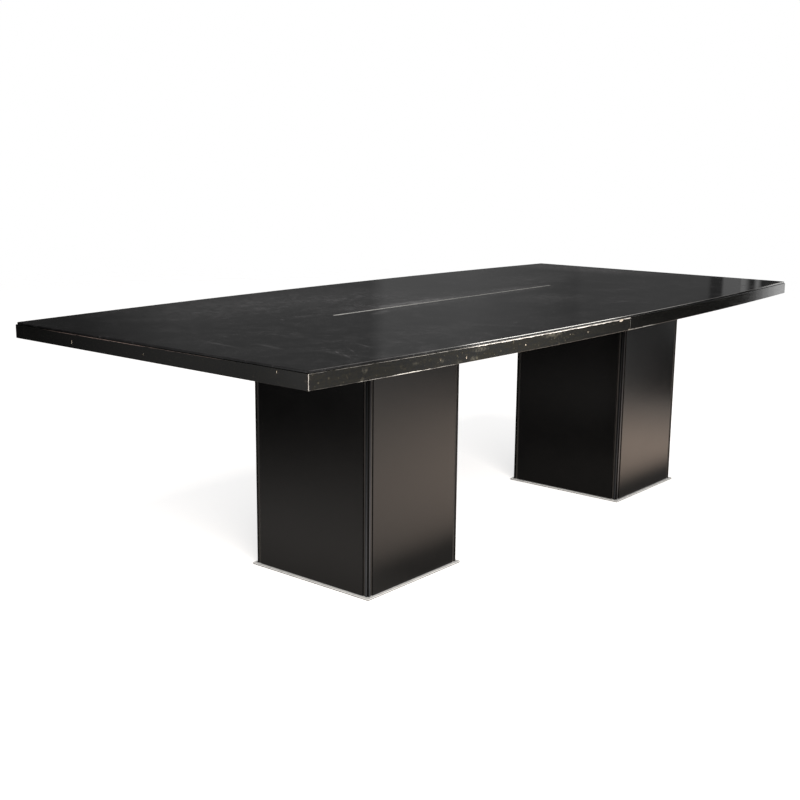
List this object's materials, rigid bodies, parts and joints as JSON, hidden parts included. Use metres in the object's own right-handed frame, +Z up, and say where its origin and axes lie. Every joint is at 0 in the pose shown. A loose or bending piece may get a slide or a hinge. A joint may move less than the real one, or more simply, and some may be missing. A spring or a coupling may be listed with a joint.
{
  "type": "glass top meeting table",
  "caption": "Long boat-shaped meeting table: a black glass sheet on a bow-sided top with mitred edge bands, carried by box pedestals with grooved corners on thin metal base plates.",
  "frame": {"origin": "on the floor under the middle of the top", "axes": "+X along the table, towards the right end; +Y to the far long side; +Z up"},
  "size_m": [2.6, 1.208, 0.74],
  "materials": {
    "glass_sheet": "black opaque float glass, polished, with wipe marks and fine scratches",
    "inlay_metal": "satin flat strip",
    "band_lacquer": "black lacquer, satin, rubbed through to pale board along the arrises",
    "panel_laminate": "black satin laminate on board",
    "post_anodised": "black anodised extrusion, satin",
    "fibre_board": "raw fibre board, hidden",
    "base_steel": "satin stainless plate",
    "zinc_hardware": "zinc plated"
  },
  "bodies": {
    "root": {"centre_inlay": "inlay_metal", "far_joining_plate": "zinc_hardware", "far_joining_screw_1": "zinc_hardware", "far_joining_screw_2": "zinc_hardware", "far_joining_screw_3": "zinc_hardware", "far_joining_screw_4": "zinc_hardware", "far_left_band": "band_lacquer", "far_right_band": "band_lacquer", "glass_top": "glass_sheet", "left_base_plate": "base_steel", "left_base_screw_1": "zinc_hardware", "left_base_screw_2": "zinc_hardware", "left_base_screw_3": "zinc_hardware", "left_base_screw_4": "zinc_hardware", "left_end_band": "band_lacquer", "left_far_inner_post": "post_anodised", "left_far_outer_post": "post_anodised", "left_far_panel": "panel_laminate", "left_foot_board": "fibre_board", "left_half_board": "fibre_board", "left_head_board": "fibre_board", "left_inner_panel": "panel_laminate", "left_near_inner_post": "post_anodised", "left_near_outer_post": "post_anodised", "left_near_panel": "panel_laminate", "left_outer_panel": "panel_laminate", "left_top_screw_1": "zinc_hardware", "left_top_screw_2": "zinc_hardware", "left_top_screw_3": "zinc_hardware", "left_top_screw_4": "zinc_hardware", "near_joining_plate": "zinc_hardware", "near_joining_screw_1": "zinc_hardware", "near_joining_screw_2": "zinc_hardware", "near_joining_screw_3": "zinc_hardware", "near_joining_screw_4": "zinc_hardware", "near_left_band": "band_lacquer", "near_right_band": "band_lacquer", "right_base_plate": "base_steel", "right_base_screw_1": "zinc_hardware", "right_base_screw_2": "zinc_hardware", "right_base_screw_3": "zinc_hardware", "right_base_screw_4": "zinc_hardware", "right_end_band": "band_lacquer", "right_far_inner_post": "post_anodised", "right_far_outer_post": "post_anodised", "right_far_panel": "panel_laminate", "right_foot_board": "fibre_board", "right_half_board": "fibre_board", "right_head_board": "fibre_board", "right_inner_panel": "panel_laminate", "right_near_inner_post": "post_anodised", "right_near_outer_post": "post_anodised", "right_near_panel": "panel_laminate", "right_outer_panel": "panel_laminate", "right_top_screw_1": "zinc_hardware", "right_top_screw_2": "zinc_hardware", "right_top_screw_3": "zinc_hardware", "right_top_screw_4": "zinc_hardware"}
  },
  "joints": []
}
